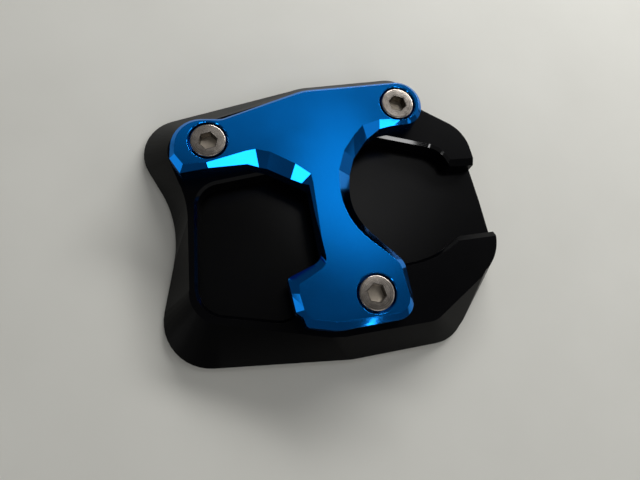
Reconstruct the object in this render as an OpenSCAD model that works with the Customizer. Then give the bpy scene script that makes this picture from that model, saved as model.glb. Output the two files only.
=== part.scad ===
// Side stand plate: an enlarged foot that clamps round the foot of a motorbike's side stand.
// A flared base plate takes the stand's foot in a pocket, a bridge plate holds it down,
// and three socket-head cap screws draw the two together.

/* [Base plate] */
// Height of the base plate, from the ground to its top face
base_h = 10; // [9:0.5:12]
// Thickness of the floor under the stand's foot
floor_t = 5; // [4:0.5:6]
// Height of the upright band at the ground, below the flared flank
land_h = 1.7; // [1:0.1:3]
// Width of the bevel along the pocket's upper edge
pocket_bevel = 0.7; // [0.3:0.1:0.9]
// Width and depth of the lead-in bevels at the tips of the two fingers
lead_in = 1.5; // [1:0.1:2]

/* [Clamp plate] */
// Thickness of the clamp plate
clamp_t = 6.5; // [6:0.5:9]
// Drop of the clamp's bevel for each millimetre of its width
bevel_drop = 0.85; // [0.5:0.05:1]
// Gap round the screw heads in their counterbores
head_gap = 0.45; // [0.3:0.05:0.5]
// Width of the bevel round the rim of each counterbore
rim_bevel = 0.25; // [0.1:0.05:0.3]

/* [Screws] */
// Nominal diameter of the thread
thread_d = 5; // [4:0.5:5]
// Diameter of the screw heads
head_d = 8.5; // [8:0.1:8.7]
// Height of the screw heads
head_h = 5; // [4:0.5:5]
// Length of the screws below their heads
screw_l = 10; // [8:0.5:10.5]
// Size of the hex key, across the flats
hex_af = 4; // [3:0.5:4]
// Depth of the hex socket
hex_h = 2.6; // [2:0.1:3]

/* [Hidden] */

// Fineness of the bores and of the screws
$fn = 64;
// How far a cutter runs on past what it cuts
past = 0.5;
// Radial play between a thread and its hole, which stands for the thread's own form
thread_play = 0.1;
// Radial play of a screw in the clamp's hole
clear_play = 0.25;
// Chamfer at the mouth of each tapped hole
mouth_bevel = 0.5;
// Chamfer at the tip of each screw, and rounding of its head's upper edge
tip_bevel = 0.7;
head_bevel = 0.4;

// Screw axes, in the plan's own axes
rear_left = [-27, 23.7];
rear_right = [20.3, 37.5];
front = [13.3, -12.1];

// Corners of the flank, counter-clockwise from the front left. Each row holds the corner at the
// ground and its radius, the corner at the rim and its radius, and the steps of the rounding.
flank = [
    [-37.8, -29.9, 12, -29.2, -18.6, 8, 12],
    [10.2, -26.8, 17, 6.6, -21.8, 5, 3],
    [36.8, -21.8, 10, 29.9, -17.6, 6, 8],
    [50.4, -0.2, 13.3, 48.6, -0.1, 11.5, 12],
    [40.8, 39.4, 12, 41.3, 34.3, 10.8, 12],
    [31.8, 44.2, 4, 28.6, 40.3, 3.5, 5],
    [26, 54.9, 7, 22.8, 48, 7, 10],
    [-3.6, 49.1, 17, -4.4, 42.4, 12, 3],
    [-50.2, 31.3, 10, -39.8, 27.1, 6.8, 14],
    [-33.9, 6.6, 29, -31.6, 10.1, 25, 10]
];

// Corners of the pocket for the stand's foot, with their radii and steps. It runs out to the
// right between the two fingers, where the stand's leg leaves it.
pocket = [
    [-27.4, -16.5, 7, 10],
    [-4.7, -18.4, 5, 8],
    [-1.7, -4.7, 5, 8],
    [28.8, -3.3, 27, 8],
    [38, 4.6, 3, 5],
    [60, 8.3, 0, 0],
    [60, 27.2, 0, 0],
    [36.3, 24.1, 1.5, 5],
    [34.5, 28.6, 7, 8],
    [14.5, 31.4, 7, 8],
    [-10.2, 19.5, 12, 4],
    [-29.7, 14, 6, 10]
];

// Ends of the two finger tips' straight walls, and where a lead-in starts, which is short of the
// inner end, so that it runs out into the pocket
lower_tip = xy(pocket[4]);
lower_mouth = xy(pocket[5]);
upper_mouth = xy(pocket[6]);
upper_tip = xy(pocket[7]);
lead_start = -3;

// Corners of the clamp's bevel, counter-clockwise from the left. Each row holds the corner on
// the wall, the corner on the top face and the steps. Sharp corners part the flat facets.
clamp = [
    [-35.7, 18.9, 0, -34.5, 19.7, 0, 0],
    [-33.1, 15.5, 0, -32.3, 17.2, 0, 0],
    [-26.6, 16.9, 0, -27, 17.9, 0, 0],
    [-17.5, 19, 0, -17.9, 21.5, 0, 0],
    [-14.7, 18.7, 0, -15.7, 22.1, 0, 0],
    [-12.7, 18.3, 0, -12.1, 21.6, 0, 0],
    [-6.9, 15.9, 0, -6, 18.9, 0, 0],
    [-4.2, 14.8, 0, -2.2, 16.5, 0, 0],
    [-2.5, 13.9, 0, -1.6, 14, 0, 0],
    [1, -4.4, 3.4, 1.8, -5.9, 3.2, 6],
    [-7.2, -8.8, 0.8, -4.7, -10.5, 0.5, 3],
    [-6.3, -12.5, 0, -4.6, -12.7, 0, 0],
    [-5.2, -16.7, 0, -3.5, -16.3, 0, 0],
    [-3.6, -17.9, 0, -2.6, -17.4, 0, 0],
    [-2.6, -20, 1.2, -1.5, -18.3, 1, 4],
    [4.7, -20.7, 12, 4.7, -18.9, 11, 3],
    [23.1, -17.2, 4.3, 22, -15.9, 3.6, 8],
    [20.6, -4.2, 5, 19.2, -4.8, 5, 5],
    [7.8, 7.8, 14.5, 5.2, 5.6, 17.8, 8],
    [7.8, 17.6, 0, 4.7, 17.9, 0, 0],
    [8.9, 22.3, 0, 6, 23.2, 0, 0],
    [11.2, 26, 0, 8.7, 27.7, 0, 0],
    [12.6, 28, 0, 10.9, 30.5, 0, 0],
    [15.7, 30.6, 0, 15.3, 32.4, 0, 0],
    [18.5, 31.4, 0, 18.5, 32.8, 0, 0],
    [27, 33, 5.1, 25.9, 33.6, 4.4, 6],
    [26.7, 45.2, 6.1, 25.8, 44.3, 5.3, 10],
    [-4.4, 39.4, 12, -4.2, 38.6, 12, 4],
    [-24.2, 29.7, 3.4, -24.2, 29, 3.4, 4],
    [-35.9, 29.1, 7.2, -35, 28.5, 6.5, 8]
];

// Where the clamp plate starts, and the top of the whole part
clamp_z = base_h;
top_z = base_h + clamp_t;
// Middle of the ground outline, which the part's origin stands in
ground = rounded(columns(flank, [0, 1, 2, 6]));
middle = [mid([for (p = ground) p.x]), mid([for (p = ground) p.y])];

// Points of an outline whose corners are rounded, each row being x, y, radius and steps.
function rounded(corners) = [
    for (i = [0 : len(corners) - 1])
        let (n = len(corners), c = corners[i])
        each arc(xy(corners[(i + n - 1) % n]), xy(c), xy(corners[(i + 1) % n]), c[2], c[3])
];

// Arc of radius r that rounds the corner b between a and c.
function arc(a, b, c, r, steps) =
    steps == 0 ? [b] :
    let (
        u = unit(a - b),
        v = unit(c - b),
        half = acos(u * v) / 2,
        centre = b + unit(u + v) * r / sin(half),
        start = b + u * r / tan(half) - centre,
        from = atan2(start.y, start.x),
        side = sign(cross(b - a, c - b)),
        turn = side * (180 - 2 * half)
    )
    [for (i = [0 : steps]) centre + r * [cos(from + turn * i / steps), sin(from + turn * i / steps)]];

// The same corners with every side moved out by d.
function grown(corners, d) = [
    for (i = [0 : len(corners) - 1])
        let (
            n = len(corners),
            b = xy(corners[i]),
            u = unit(b - xy(corners[(i + n - 1) % n])),
            v = unit(xy(corners[(i + 1) % n]) - b),
            out = [u.y + v.y, -u.x - v.x] / (1 + u * v),
            side = sign(cross(u, v)),
            r = corners[i][2]
        )
        [b.x + d * out.x, b.y + d * out.y, r == 0 ? 0 : r + side * d, corners[i][3]]
];

function xy(p) = [p[0], p[1]];
function unit(v) = v / norm(v);
function mid(list) = (min(list) + max(list)) / 2;
function columns(rows, which) = [for (row = rows) [for (k = which) row[k]]];

// A ring of triangular section that cuts a bevel from the wall line up to the top line. The
// two lines have as many points as each other, and low holds the height of each wall point.
// Its faces turn the other way where the top line lies outside the wall line.
module bevel_cutter(wall, top, low, high) {
    n = len(wall);
    inward = cross(wall[1] - wall[0], top[0] - wall[0]) > 0;
    points = [
        for (i = [0 : n - 1])
            let (
                step = top[i] - wall[i],
                share = past / norm(step),
                rise = high - low[i],
                a = wall[i] - share * step,
                b = top[i] + share * step
            )
            each [
                [a.x, a.y, low[i] - share * rise],
                [b.x, b.y, high + share * rise],
                [a.x, a.y, high + share * rise]
            ]
    ];
    faces = [
        for (i = [0 : n - 1])
            for (side = [0 : 2])
                let (
                    next = (i + 1) % n,
                    p = 3 * i + side,
                    q = 3 * i + (side + 1) % 3,
                    r = 3 * next + (side + 1) % 3,
                    s = 3 * next + side
                )
                each inward ? [[p, r, q], [p, s, r]] : [[p, q, r], [p, r, s]]
    ];
    polyhedron(points = points, faces = faces);
}

// A wedge that bevels the upper edge on the right of the line between two points.
module wedge(from, to) {
    line = to - from;
    translate([from.x, from.y, base_h])
        rotate([0, 0, atan2(line.y, line.x)])
            rotate([90, 0, 90])
                linear_extrude(norm(line))
                    polygon([
                        [-lead_in - past, past],
                        [past, -lead_in - past],
                        [2 * past, past]
                    ]);
}

// Puts children at each screw axis, on the plan's own axes.
module at_screws() {
    for (p = [rear_left, rear_right, front])
        translate([p.x, p.y, 0])
            children();
}

// A hole of diameter d from one height up to another, with a chamfer at its mouth.
module hole(from, to, d, chamfer) {
    translate([0, 0, from])
        cylinder(h = to - from + past, d = d);
    translate([0, 0, to - chamfer])
        cylinder(h = chamfer + past, d1 = d, d2 = d + 2 * (chamfer + past));
}

// The flared plate: a pocketed block whose flanks lean out to the ground.
module base_plate() {
    rim = rounded(columns(flank, [3, 4, 5, 6]));
    low = [for (p = ground) land_h];
    pocket_wall = rounded(pocket);
    pocket_rim = rounded(grown(pocket, pocket_bevel));
    color([0.06, 0.06, 0.07])
        translate([-middle.x, -middle.y, 0])
            difference() {
                linear_extrude(base_h)
                    polygon(ground);
                bevel_cutter(ground, rim, low, base_h);
                translate([0, 0, floor_t])
                    linear_extrude(base_h)
                        polygon(pocket_wall);
                bevel_cutter(pocket_wall, pocket_rim, [for (p = pocket_wall) base_h - pocket_bevel], base_h);
                wedge(lower_tip + lead_start * unit(lower_mouth - lower_tip), lower_mouth);
                wedge(upper_mouth, upper_tip + lead_start * unit(upper_mouth - upper_tip));
                at_screws()
                    hole(-past, base_h, thread_d + 2 * thread_play, mouth_bevel);
            }
}

// The bridge plate over the stand's foot, with its facetted bevel.
module clamp_plate() {
    wall = rounded(columns(clamp, [0, 1, 2, 6]));
    top = rounded(columns(clamp, [3, 4, 5, 6]));
    low = [for (i = [0 : len(wall) - 1]) top_z - bevel_drop * norm(top[i] - wall[i])];
    color([0, 0.33, 0.68])
        translate([-middle.x, -middle.y, 0])
            difference() {
                translate([0, 0, clamp_z])
                    linear_extrude(clamp_t)
                        polygon(wall);
                bevel_cutter(wall, top, low, top_z);
                at_screws() {
                    translate([0, 0, clamp_z - past])
                        cylinder(h = clamp_t, d = thread_d + 2 * clear_play);
                    hole(top_z - head_h, top_z, head_d + 2 * head_gap, rim_bevel);
                }
            }
}

// A socket-head cap screw whose head stands flush with the clamp's top face.
module screw(axis) {
    color([0.62, 0.6, 0.57])
        translate([axis.x - middle.x, axis.y - middle.y, top_z - head_h])
            difference() {
                rotate_extrude()
                    polygon([
                        [0, -screw_l],
                        [thread_d / 2 - tip_bevel, -screw_l],
                        [thread_d / 2, tip_bevel - screw_l],
                        [thread_d / 2, 0],
                        [head_d / 2, 0],
                        [head_d / 2, head_h - head_bevel],
                        [head_d / 2 - head_bevel, head_h],
                        [0, head_h]
                    ]);
                translate([0, 0, head_h - hex_h])
                    cylinder(h = hex_h + past, d = hex_af / cos(30), $fn = 6);
            }
}

base_plate();
clamp_plate();
screw(rear_left);  // screw_rear_left
screw(rear_right);  // screw_rear_right
screw(front);  // screw_front
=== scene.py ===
import math

import bpy
from mathutils import Euler, Matrix, Vector


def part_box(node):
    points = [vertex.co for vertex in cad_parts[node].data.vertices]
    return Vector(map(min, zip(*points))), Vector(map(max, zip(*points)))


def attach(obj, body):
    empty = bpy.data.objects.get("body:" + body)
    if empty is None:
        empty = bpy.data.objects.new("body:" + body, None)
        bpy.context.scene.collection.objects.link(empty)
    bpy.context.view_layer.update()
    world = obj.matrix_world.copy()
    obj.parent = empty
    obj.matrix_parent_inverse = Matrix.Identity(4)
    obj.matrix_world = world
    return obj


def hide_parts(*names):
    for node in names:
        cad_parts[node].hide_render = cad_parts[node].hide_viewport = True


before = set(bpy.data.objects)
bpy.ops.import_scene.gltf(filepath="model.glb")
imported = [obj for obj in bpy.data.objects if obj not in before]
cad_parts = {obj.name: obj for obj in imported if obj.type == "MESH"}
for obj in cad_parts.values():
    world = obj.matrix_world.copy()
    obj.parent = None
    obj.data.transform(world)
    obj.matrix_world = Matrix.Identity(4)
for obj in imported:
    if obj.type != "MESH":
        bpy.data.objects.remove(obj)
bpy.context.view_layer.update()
mm = 0.001

# Camera. It looks down on the part from in front and a little to the left, as a hand-held
# camera does over a table, and its lens takes in the part with the table round it.
camera = bpy.data.objects.new("camera", bpy.data.cameras.new("camera"))
camera.location = Vector((-16.76, -40.78, 121.24)) * mm
camera.rotation_euler = Euler([math.radians(angle) for angle in (14.96, -7.89, 0)])
camera.data.lens = 26.44
camera.data.sensor_width = 36
camera.data.clip_start = 10 * mm
bpy.context.collection.objects.link(camera)
bpy.context.scene.camera = camera
bpy.context.scene.view_settings.view_transform = "Standard"


# Base plate. One block of aluminium: the pocket, the flared flanks and the tapped holes are
# milled, the whole is blasted with fine beads and anodised black, and the narrow bevel along the
# pocket's upper edge is a last, smoother cut. Every other edge is only broken.
edge_break = 0.18 * mm
broken_angle = math.radians(20)
pocket_bevel = 0.6 * mm
merge_gap = 0.04 * mm
flat_angle = math.radians(1)
mark_depth = 0.02 * mm
cloud_size = 9 * mm
cloud_share = 0.14


class Signal:
    """A shader socket. Sums and products of it with numbers or sockets add their Math nodes."""

    def __init__(self, tree, socket=None):
        self.tree = tree
        self.socket = socket

    def node(self, kind, settings, links, output=0):
        """Adds a node: its settings first, then its sockets' values or links."""
        made = self.tree.nodes.new(kind)
        for name, value in settings.items():
            setattr(made, name, value)
        for name, value in links.items():
            if isinstance(value, Signal):
                self.tree.links.new(value.socket, made.inputs[name])
            else:
                made.inputs[name].default_value = value
        return Signal(self.tree, made.outputs[output]) if made.outputs else None

    def maths(self, operation, first, second):
        return self.node("ShaderNodeMath", {"operation": operation}, {0: first, 1: second})

    def __add__(self, other):
        return self.maths("ADD", self, other)

    def __radd__(self, other):
        return self.maths("ADD", other, self)

    def __rmul__(self, other):
        return self.maths("MULTIPLY", other, self)

    def noise(self, place, size, detail):
        """Noise whose blotches are about as wide as size, from 0 to 1."""
        links = {"Vector": place, "Scale": 1 / size, "Detail": detail}
        return self.node("ShaderNodeTexNoise", {}, links)

    def blend(self, factor, first, second):
        """The first colour where the factor is 0, the second where it is 1."""
        links = {"Factor": factor, "A": first, "B": second}
        return self.node("ShaderNodeMix", {"data_type": "RGBA"}, links, "Result")

    def bump(self, strength, height):
        """A normal that makes heights from 0 to 1 look like fine marks in the surface."""
        links = {"Strength": strength, "Distance": mark_depth, "Height": height}
        return self.node("ShaderNodeBump", {}, links)

    def surface(self, links):
        """The one shader of a finish and its output."""
        shader = self.node("ShaderNodeBsdfPrincipled", {}, links)
        self.node("ShaderNodeOutputMaterial", {}, {"Surface": shader})


def new_finish(name):
    """A bare material and a Signal to build its nodes with."""
    finish = bpy.data.materials.new(name)
    finish.use_nodes = True
    finish.node_tree.nodes.clear()
    return finish, Signal(finish.node_tree)


def anodised(name, colour, metallic, roughness, gloss, grain, bite):
    """Dyed aluminium oxide: grain is how wide the beads' dimples are, bite how deep they look."""
    finish, signal = new_finish(name)
    place = signal.node("ShaderNodeTexCoord", {}, {}, "Object")
    dimples = signal.noise(place, grain, 2)
    cloud = signal.noise(place, cloud_size, 4)
    deeper = [(1 - cloud_share) * c for c in colour] + [1]
    paler = [(1 + cloud_share) * c for c in colour] + [1]
    signal.surface(
        {
            "Base Color": signal.blend(cloud, deeper, paler),
            "Metallic": metallic,
            "Roughness": roughness * (0.88 + 0.24 * cloud),
            "Specular IOR Level": gloss,
            "Normal": signal.bump(bite, dimples),
        }
    )
    return finish


def only(piece):
    """Makes the piece the one that is selected and active."""
    bpy.ops.object.select_all(action="DESELECT")
    piece.select_set(True)
    bpy.context.view_layer.objects.active = piece


def merged_copy(node, name):
    """A node's mesh under a new name, its triangles merged into whole flat faces and quads."""
    piece = bpy.data.objects.new(name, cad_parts[node].data.copy())
    bpy.context.collection.objects.link(piece)
    piece.data.materials.clear()
    only(piece)
    bpy.ops.object.mode_set(mode="EDIT")
    bpy.ops.mesh.select_all(action="SELECT")
    bpy.ops.mesh.customdata_custom_splitnormals_clear()
    bpy.ops.mesh.remove_doubles(threshold=merge_gap)
    bpy.ops.mesh.dissolve_limited(angle_limit=flat_angle)
    bpy.ops.mesh.tris_convert_to_quads(
        face_threshold=math.radians(14), shape_threshold=math.radians(150)
    )
    bpy.ops.object.mode_set(mode="OBJECT")
    return piece


def break_edges(piece, width, share):
    """Rounds each edge by its share of the width and shades the piece smooth but for its flats."""
    mesh = piece.data
    weight = mesh.attributes.new("bevel_weight_edge", "FLOAT", "EDGE")
    around = [[] for edge in mesh.edges]
    for face in mesh.polygons:
        for key in face.loop_indices:
            around[mesh.loops[key].edge_index].append(face)
    for edge in mesh.edges:
        faces = around[edge.index]
        if len(faces) == 2:
            weight.data[edge.index].value = share(edge, *faces)
    only(piece)
    bevel = piece.modifiers.new("edges", "BEVEL")
    bevel.limit_method = "WEIGHT"
    bevel.width = width
    bevel.segments = 3
    bevel.use_clamp_overlap = True
    bpy.ops.object.modifier_apply(modifier=bevel.name)
    bpy.ops.object.shade_smooth_by_angle(angle=math.radians(35))
    weighted = piece.modifiers.new("flats", "WEIGHTED_NORMAL")
    weighted.keep_sharp = True
    bpy.ops.object.modifier_apply(modifier=weighted.name)


def finish_off(piece, node):
    """Hangs a finished piece on the part's one body, in the place of its node."""
    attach(piece, "root")
    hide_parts(node)


black_blasted = anodised("black_blasted", (0.0014, 0.0014, 0.0018), 0, 0.36, 0.06, 0.16 * mm, 0.2)
black_milled = anodised("black_milled", (0.001, 0.001, 0.0013), 0, 0.06, 0.6, 0.5 * mm, 0.02)
black_floor = anodised("black_floor", (0.001, 0.001, 0.0013), 0, 0.24, 0.2, 0.3 * mm, 0.1)

base = merged_copy("base_plate", "base_plate_finished")
base_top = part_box("clamp_plate")[0].z
break_edges(base, edge_break, lambda edge, a, b: float(a.normal.angle(b.normal) > broken_angle))
base.data.materials.append(black_blasted)
base.data.materials.append(black_milled)
base.data.materials.append(black_floor)
for face in base.data.polygons:
    up = face.normal.z
    height = face.center.z
    if 0.6 < up < 0.8 and base_top - pocket_bevel < height < base_top:
        face.material_index = 1
    elif up > 0.9 and height < 0.6 * base_top:
        face.material_index = 2
finish_off(base, "base_plate")


# Clamp plate. Milled from aluminium, blasted like the base, and then its upper edge is cut with a
# diamond tool into bright flat facets, steepest in the arc of the right-hand notch. The rims of
# its counterbores are cut too, before all is anodised blue. It bridges the base plate's pocket.
facet_width = 3.2 * mm
rim_reach = 5.2 * mm
rim_rounding = 0.17 * mm
facet_share = 0.55
notch_dip = 0.32 * mm

blue_blasted = anodised("blue_blasted", (0.002, 0.19, 0.66), 1, 0.22, 0.5, 0.16 * mm, 0.1)
blue_cut = anodised("blue_cut", (0.005, 0.21, 0.74), 1, 0.08, 0.5, 0.5 * mm, 0.08)


def slopes(face):
    """Whether a face belongs to the bevel, being neither flat nor upright."""
    return 0.35 < face.normal.z < 0.95


def level_length(face, mesh):
    """The length of a face's longest level side."""
    corners = [mesh.vertices[i].co for i in face.vertices]
    sides = [b - a for a, b in zip(corners, corners[1:] + corners[:1])]
    return max([side.length for side in sides if abs(side.z) < 0.5 * side.length], default=0)


def clamp_share(edge, a, b):
    """The counterbores' rims are rounded most, then the corners between the plate's facets."""
    mesh = clamp.data
    middle = sum((mesh.vertices[i].co for i in edge.vertices), Vector()) / 2
    for top in screw_tops.values():
        if (middle - top).length < rim_reach and slopes(a) != slopes(b):
            return 1.0
    wide = min(level_length(a, mesh), level_length(b, mesh)) > facet_width
    sharp = a.normal.angle(b.normal) > math.radians(10)
    return facet_share if sharp or slopes(a) and slopes(b) and wide else 0.0


clamp = merged_copy("clamp_plate", "clamp_plate_finished")
clamp_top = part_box("clamp_plate")[1].z
screw_tops = {}
for node in ("screw_rear_left", "screw_rear_right", "screw_front"):
    low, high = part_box(node)
    screw_tops[node] = Vector(((low.x + high.x) / 2, (low.y + high.y) / 2, high.z))

# The bevel's lower edge dips in the arc of the notch, and less and less towards the front.
for vertex in clamp.data.vertices:
    x, y, z = vertex.co
    in_notch = 0 < x < 9 * mm and -8 * mm < y < 4.6 * mm
    if in_notch and clamp_top - 3 * mm < z < clamp_top - 0.1 * mm:
        share = (y + 7 * mm) / (3.5 * mm)
        vertex.co.z -= notch_dip * min(max(share, 0), 1)

break_edges(clamp, rim_rounding, clamp_share)
clamp.data.materials.append(blue_blasted)
clamp.data.materials.append(blue_cut)
for face in clamp.data.polygons:
    if slopes(face):
        face.material_index = 1
finish_off(clamp, "clamp_plate")


# Screws. Three stainless socket-head cap screws, with knurled and turned heads, broached hexagon
# sockets and rolled threads. Their heads stand in the counterbores, flush with the clamp plate,
# and each was left wherever its hexagon stopped when it was tight.
socket_across = 4.0 * mm
socket_depth = 2.6 * mm
socket_chamfer = 0.16 * mm
drill_slope = math.tan(math.radians(12))
head_height = 5.0 * mm
head_rounding = 0.4 * mm
knurl_teeth = 48
knurl_depth = 0.13 * mm
knurl_start = -0.9 * mm
knurl_end = -4.4 * mm
knurl_run_out = 0.3 * mm
thread_pitch = 0.8 * mm
thread_depth = 0.49 * mm
thread_radius = 2.5 * mm
thread_crest = 0.12
thread_flank = 0.66
rings_per_turn = 8
tip_chamfer = 0.7 * mm
shank_lap = 0.5 * mm
ring_spacing = 0.14 * mm
tarnish_size = 1.3 * mm
hexagon_turns = (20, 49, 50)


def blank(kind, **settings):
    """A primitive as a new object of its own, with nothing else selected."""
    bpy.ops.object.select_all(action="DESELECT")
    kind(**settings)
    bpy.ops.object.transform_apply()
    return bpy.context.object


def edit_edges(mesh, wanted):
    """Opens the mesh in edit mode with only those edges selected whose two ends are wanted."""
    for part in (*mesh.vertices, *mesh.polygons):
        part.select = False
    for edge in mesh.edges:
        edge.select = wanted(*[mesh.vertices[i].co for i in edge.vertices])
    bpy.context.tool_settings.mesh_select_mode = (False, True, False)
    bpy.ops.object.mode_set(mode="EDIT")


def cut_or_join(piece, other, operation):
    """Cuts another closed piece out of the first one, or joins it on, and deletes it."""
    only(piece)
    step = piece.modifiers.new("step", "BOOLEAN")
    step.object = other
    step.operation = operation
    step.solver = "EXACT"
    bpy.ops.object.modifier_apply(modifier=step.name)
    bpy.data.objects.remove(other)


def head_blank(radius):
    """The head with its rounded top edge and its knurled side. Its top face is at height 0."""
    head = blank(
        bpy.ops.mesh.primitive_cylinder_add,
        vertices=2 * knurl_teeth,
        radius=radius,
        depth=head_height,
        location=(0, 0, -head_height / 2),
    )
    edit_edges(head.data, lambda a, b: min(a.z, b.z) > -0.1 * mm)
    bpy.ops.mesh.bevel(offset=head_rounding, segments=5, affect="EDGES")
    for height in (
        knurl_start + knurl_run_out,
        knurl_start,
        knurl_end,
        knurl_end - knurl_run_out,
    ):
        bpy.ops.mesh.select_all(action="SELECT")
        bpy.ops.mesh.bisect(plane_co=(0, 0, height), plane_no=(0, 0, 1))
    bpy.ops.object.mode_set(mode="OBJECT")
    groove = 1 - knurl_depth / radius
    for vertex in head.data.vertices:
        tooth = math.atan2(vertex.co.y, vertex.co.x) * knurl_teeth / math.pi
        if round(tooth) % 2 and knurl_end - 0.1 * mm < vertex.co.z < knurl_start + 0.1 * mm:
            vertex.co.x *= groove
            vertex.co.y *= groove
    return head


def threaded_shank(length):
    """The shank below the head, which starts a little inside it, with a helical thread."""
    start = -head_height + shank_lap
    end = -head_height - length
    shank = blank(
        bpy.ops.mesh.primitive_cylinder_add,
        vertices=36,
        radius=thread_radius,
        depth=start - end,
        location=(0, 0, (start + end) / 2),
    )
    edit_edges(shank.data, lambda a, b: abs(a.z - b.z) > mm)
    bpy.ops.mesh.subdivide(number_cuts=round((start - end) / thread_pitch * rings_per_turn))
    bpy.ops.object.mode_set(mode="OBJECT")
    for vertex in shank.data.vertices:
        x, y, z = vertex.co
        turn = z / thread_pitch - math.atan2(y, x) / (2 * math.pi)
        from_crest = abs(2 * (turn % 1) - 1)
        groove = thread_depth * min(max((from_crest - thread_crest) / thread_flank, 0), 1)
        radius = min(thread_radius - groove, thread_radius - tip_chamfer + z - end)
        vertex.co.x *= radius / thread_radius
        vertex.co.y *= radius / thread_radius
    return shank


def socket_cutters():
    """The broached hexagon, its drilled bottom and the chamfer at its mouth."""
    corner = socket_across / math.sqrt(3)
    drill = 0.94 * socket_across / 2
    above = mm
    lap = 0.1 * mm
    cone = drill * drill_slope + lap
    yield blank(
        bpy.ops.mesh.primitive_cylinder_add,
        vertices=6,
        radius=corner,
        depth=socket_depth + above,
        location=(0, 0, (above - socket_depth) / 2),
        rotation=(0, 0, math.radians(30)),
    )
    yield blank(
        bpy.ops.mesh.primitive_cone_add,
        vertices=48,
        radius1=drill + lap / drill_slope,
        depth=cone,
        location=(0, 0, lap - socket_depth - cone / 2),
        rotation=(math.pi, 0, 0),
    )
    yield blank(
        bpy.ops.mesh.primitive_cone_add,
        vertices=6,
        radius1=corner + socket_chamfer + above,
        radius2=corner,
        depth=socket_chamfer + above,
        location=(0, 0, (above - socket_chamfer) / 2),
        rotation=(math.pi, 0, math.radians(30)),
    )


def steel(name, dark, bright, roughness):
    """Stainless steel with turning rings, from its tarnished to its bright tone. For the socket's
    walls and floor, the tones given are painted shade and painted light.
    """
    finish, signal = new_finish(name)
    place = signal.node("ShaderNodeTexCoord", {}, {}, "Object")
    from_above = signal.node("ShaderNodeUVMap", {"uv_map": "from_above"}, {})
    radius = signal.node("ShaderNodeVectorMath", {"operation": "LENGTH"}, {0: from_above}, "Value")
    rings = signal.node(
        "ShaderNodeTexNoise",
        {"noise_dimensions": "1D"},
        {"W": radius, "Scale": 1 / ring_spacing, "Detail": 3},
    )
    tarnish = signal.noise(place, tarnish_size, 5)
    signal.surface(
        {
            "Base Color": signal.blend(tarnish, dark, bright),
            "Metallic": 1,
            "Roughness": roughness + 0.14 * rings + 0.06 * tarnish,
            "Normal": signal.bump(0.35, rings + 0.6 * tarnish),
        }
    )
    return finish


low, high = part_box("screw_front")
pattern = head_blank((high.x - low.x) / 2)
cut_or_join(pattern, threaded_shank(high.z - low.z - head_height), "UNION")
for cutter in socket_cutters():
    cut_or_join(pattern, cutter, "DIFFERENCE")
from_above = pattern.data.uv_layers.new(name="from_above")
for loop in pattern.data.loops:
    from_above.data[loop.index].uv = pattern.data.vertices[loop.vertex_index].co.xy
only(pattern)
bpy.ops.object.shade_smooth_by_angle(angle=math.radians(30))
turned = steel("turned_steel", (0.24, 0.205, 0.175, 1), (0.54, 0.49, 0.44, 1), 0.16)
# The next two finishes are this same steel in other tones. The near-black one for the socket's
# walls is painted shade, and the pale warm one for its floor is painted light.
broached_with_painted_shade = steel("socket_wall_painted_shade_steel", (0.03, 0.025, 0.02, 1), (0.10, 0.085, 0.07, 1), 0.16)
drilled_with_painted_light = steel("socket_floor_painted_light_steel", (0.50, 0.42, 0.33, 1), (0.95, 0.84, 0.70, 1), 0.26)
pattern.data.materials.append(turned)
pattern.data.materials.append(broached_with_painted_shade)
pattern.data.materials.append(drilled_with_painted_light)
# Faces deep in the socket take these painted finishes: its upright walls get the painted shade and
# its floor gets the painted light.
for face in pattern.data.polygons:
    in_socket = face.center.xy.length < 0.57 * socket_across
    if in_socket and -head_height < face.center.z < -socket_chamfer:
        face.material_index = 1 if face.normal.z < 0.2 else 2

for (node, top), turn in zip(screw_tops.items(), hexagon_turns):
    screw = bpy.data.objects.new(node + "_finished", pattern.data.copy())
    screw.data.transform(Matrix.Translation(top) @ Matrix.Rotation(math.radians(turn), 4, "Z"))
    bpy.context.collection.objects.link(screw)
    finish_off(screw, node)
bpy.data.objects.remove(pattern)


# Table. A pale, slightly mottled top that the part lies on. It reaches 5 m to every side, so that
# its edge is far off in the low views and out of all the others.
table_reach = 5000 * mm
mottle_size = 30 * mm

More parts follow.
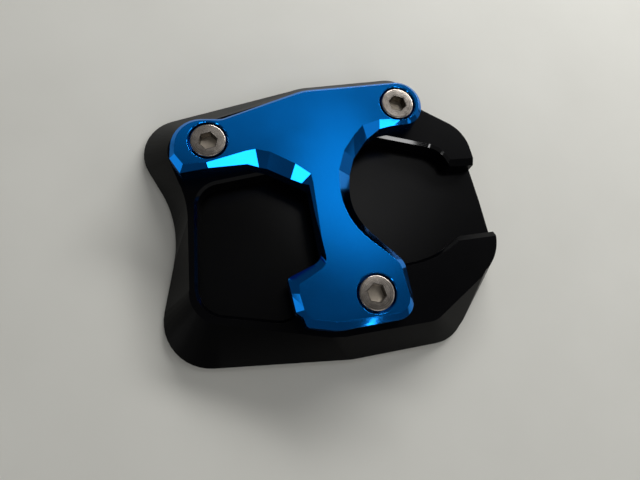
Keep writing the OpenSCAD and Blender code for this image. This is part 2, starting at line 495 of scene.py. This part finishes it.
bpy.ops.object.select_all(action="DESELECT")
bpy.ops.mesh.primitive_circle_add(vertices=96, radius=table_reach, fill_type="NGON")
table = bpy.context.object
table.name = "table"
table_finish, signal = new_finish("table_top")
place = signal.node("ShaderNodeTexCoord", {}, {}, "Object")
mottle = signal.noise(place, mottle_size, 4)
tone = signal.blend(mottle, (0.74, 0.73, 0.67, 1), (0.82, 0.81, 0.75, 1))
signal.surface({"Base Color": tone, "Roughness": 0.6, "Specular IOR Level": 0.2})
table.data.materials.append(table_finish)


# Light. A dim room with soft panels overhead and behind, which light the table, and small windows
# low in front and to the left, whose places decide which facets of the clamp plate flash.
def lamp(name, azimuth, elevation, width, height, radiance, distance=0.9):
    """A lamp that seems width by height degrees large from the part and shines towards it.

    Azimuth turns from +X towards +Y. Radiance is how bright the lamp looks in a mirror.
    """
    a, e, w, h = [math.radians(angle) for angle in (azimuth, elevation, width, height)]
    away = Vector((math.cos(a) * math.cos(e), math.sin(a) * math.cos(e), math.sin(e)))
    light = bpy.data.lights.new(name, "AREA")
    light.shape = "RECTANGLE"
    light.size = 2 * distance * math.tan(w / 2)
    light.size_y = 2 * distance * math.tan(h / 2)
    light.energy = radiance * math.pi * light.size * light.size_y
    made = bpy.data.objects.new(name, light)
    made.location = away * distance
    made.rotation_euler = away.to_track_quat("Z", "Y").to_euler()
    made.visible_camera = False
    bpy.context.collection.objects.link(made)


lamp("overhead_panel", 59.5, 66.5, 16, 14, 1.2)
lamp("rear_panel", 93, 58, 26, 10, 0.4)
lamp("rear_light", 66, 30.5, 52, 10, 16, 0.55)
lamp("right_light", 5, 32, 40, 14, 1.9, 0.6)
lamp("front_fill", -70, 52, 36, 12, 1.3)
lamp("front_window", -64.5, 34, 16, 6.5, 4.3)
lamp("front_strip", -82.5, 29, 4.5, 4, 8)
lamp("front_spark", -65.2, 10.5, 0.9, 4, 6)
lamp("side_panel", -38, 27.5, 10, 10, 0.6)
lamp("left_window", -133, 29, 8, 12, 4.4)
lamp("low_right_panel", 7, 7, 22, 9, 0.2)
lamp("low_left_panel", -149, 3.5, 14, 5, 3)
lamp("far_left_window", -167, 15.5, 14, 7, 0.8)

world = bpy.data.worlds.new("room")
world.use_nodes = True
walls = world.node_tree.nodes["Background"].inputs
walls["Color"].default_value = (0.98, 0.99, 1, 1)
walls["Strength"].default_value = 0.10
bpy.context.scene.world = world
